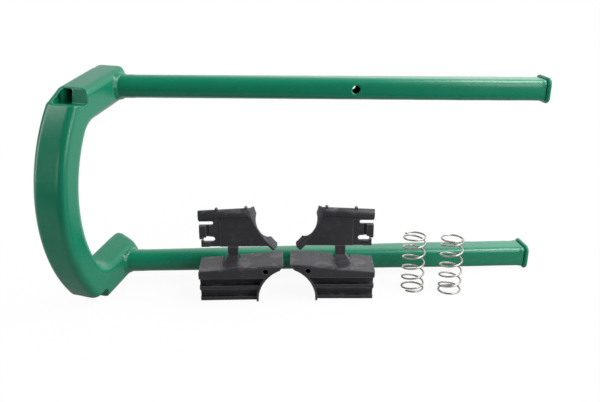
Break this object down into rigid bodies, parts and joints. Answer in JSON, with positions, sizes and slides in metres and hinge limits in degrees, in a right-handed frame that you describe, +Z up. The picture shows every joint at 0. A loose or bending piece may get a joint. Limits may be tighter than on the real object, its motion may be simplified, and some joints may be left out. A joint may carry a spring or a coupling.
{
  "type": "conduit bender handle kit",
  "caption": "Welded tube handle with a bowed grip and long legs, set out with mirrored squeeze latches and compression springs for a wheeled conduit bender.",
  "frame": {"origin": "on the table, under the middle of the layout's bounding box", "axes": "+X along the handle's legs, from the grip to the leg ends; +Y away from the viewer, behind the latches; +Z up"},
  "size_m": [0.5651, 0.1455, 0.254],
  "materials": {
    "green_powder_coat": "satin powder coat",
    "charcoal_nylon": "moulded, fine matt texture",
    "spring_steel": "drawn wire"
  },
  "bodies": {
    "handle": {"grip_bow": "green_powder_coat", "upper_arm": "green_powder_coat", "lower_arm": "green_powder_coat", "upper_arm_cap": "green_powder_coat", "lower_arm_cap": "green_powder_coat", "upper_corner_tab": "green_powder_coat", "lower_corner_tab": "green_powder_coat", "upper_corner_strip": "green_powder_coat", "lower_corner_strip": "green_powder_coat", "upper_leg": "green_powder_coat", "lower_leg": "green_powder_coat", "upper_leg_weld": "green_powder_coat", "lower_leg_weld": "green_powder_coat", "upper_leg_plate": "green_powder_coat", "lower_leg_plate": "green_powder_coat"},
    "left_latch": {"left_latch": "charcoal_nylon"},
    "right_latch": {"right_latch": "charcoal_nylon"},
    "left_spring": {"left_spring": "spring_steel"},
    "right_spring": {"right_spring": "spring_steel"}
  },
  "joints": [
    {"name": "left_latch_lift", "type": "slide", "parent": "handle", "child": "left_latch", "axis": [0, 0, 1], "range_m": [0, 0.3]},
    {"name": "right_latch_lift", "type": "slide", "parent": "handle", "child": "right_latch", "axis": [0, 0, 1], "range_m": [0, 0.3]},
    {"name": "left_spring_lift", "type": "slide", "parent": "handle", "child": "left_spring", "axis": [0, 0, 1], "range_m": [0, 0.3]},
    {"name": "right_spring_lift", "type": "slide", "parent": "handle", "child": "right_spring", "axis": [0, 0, 1], "range_m": [0, 0.3]}
  ]
}
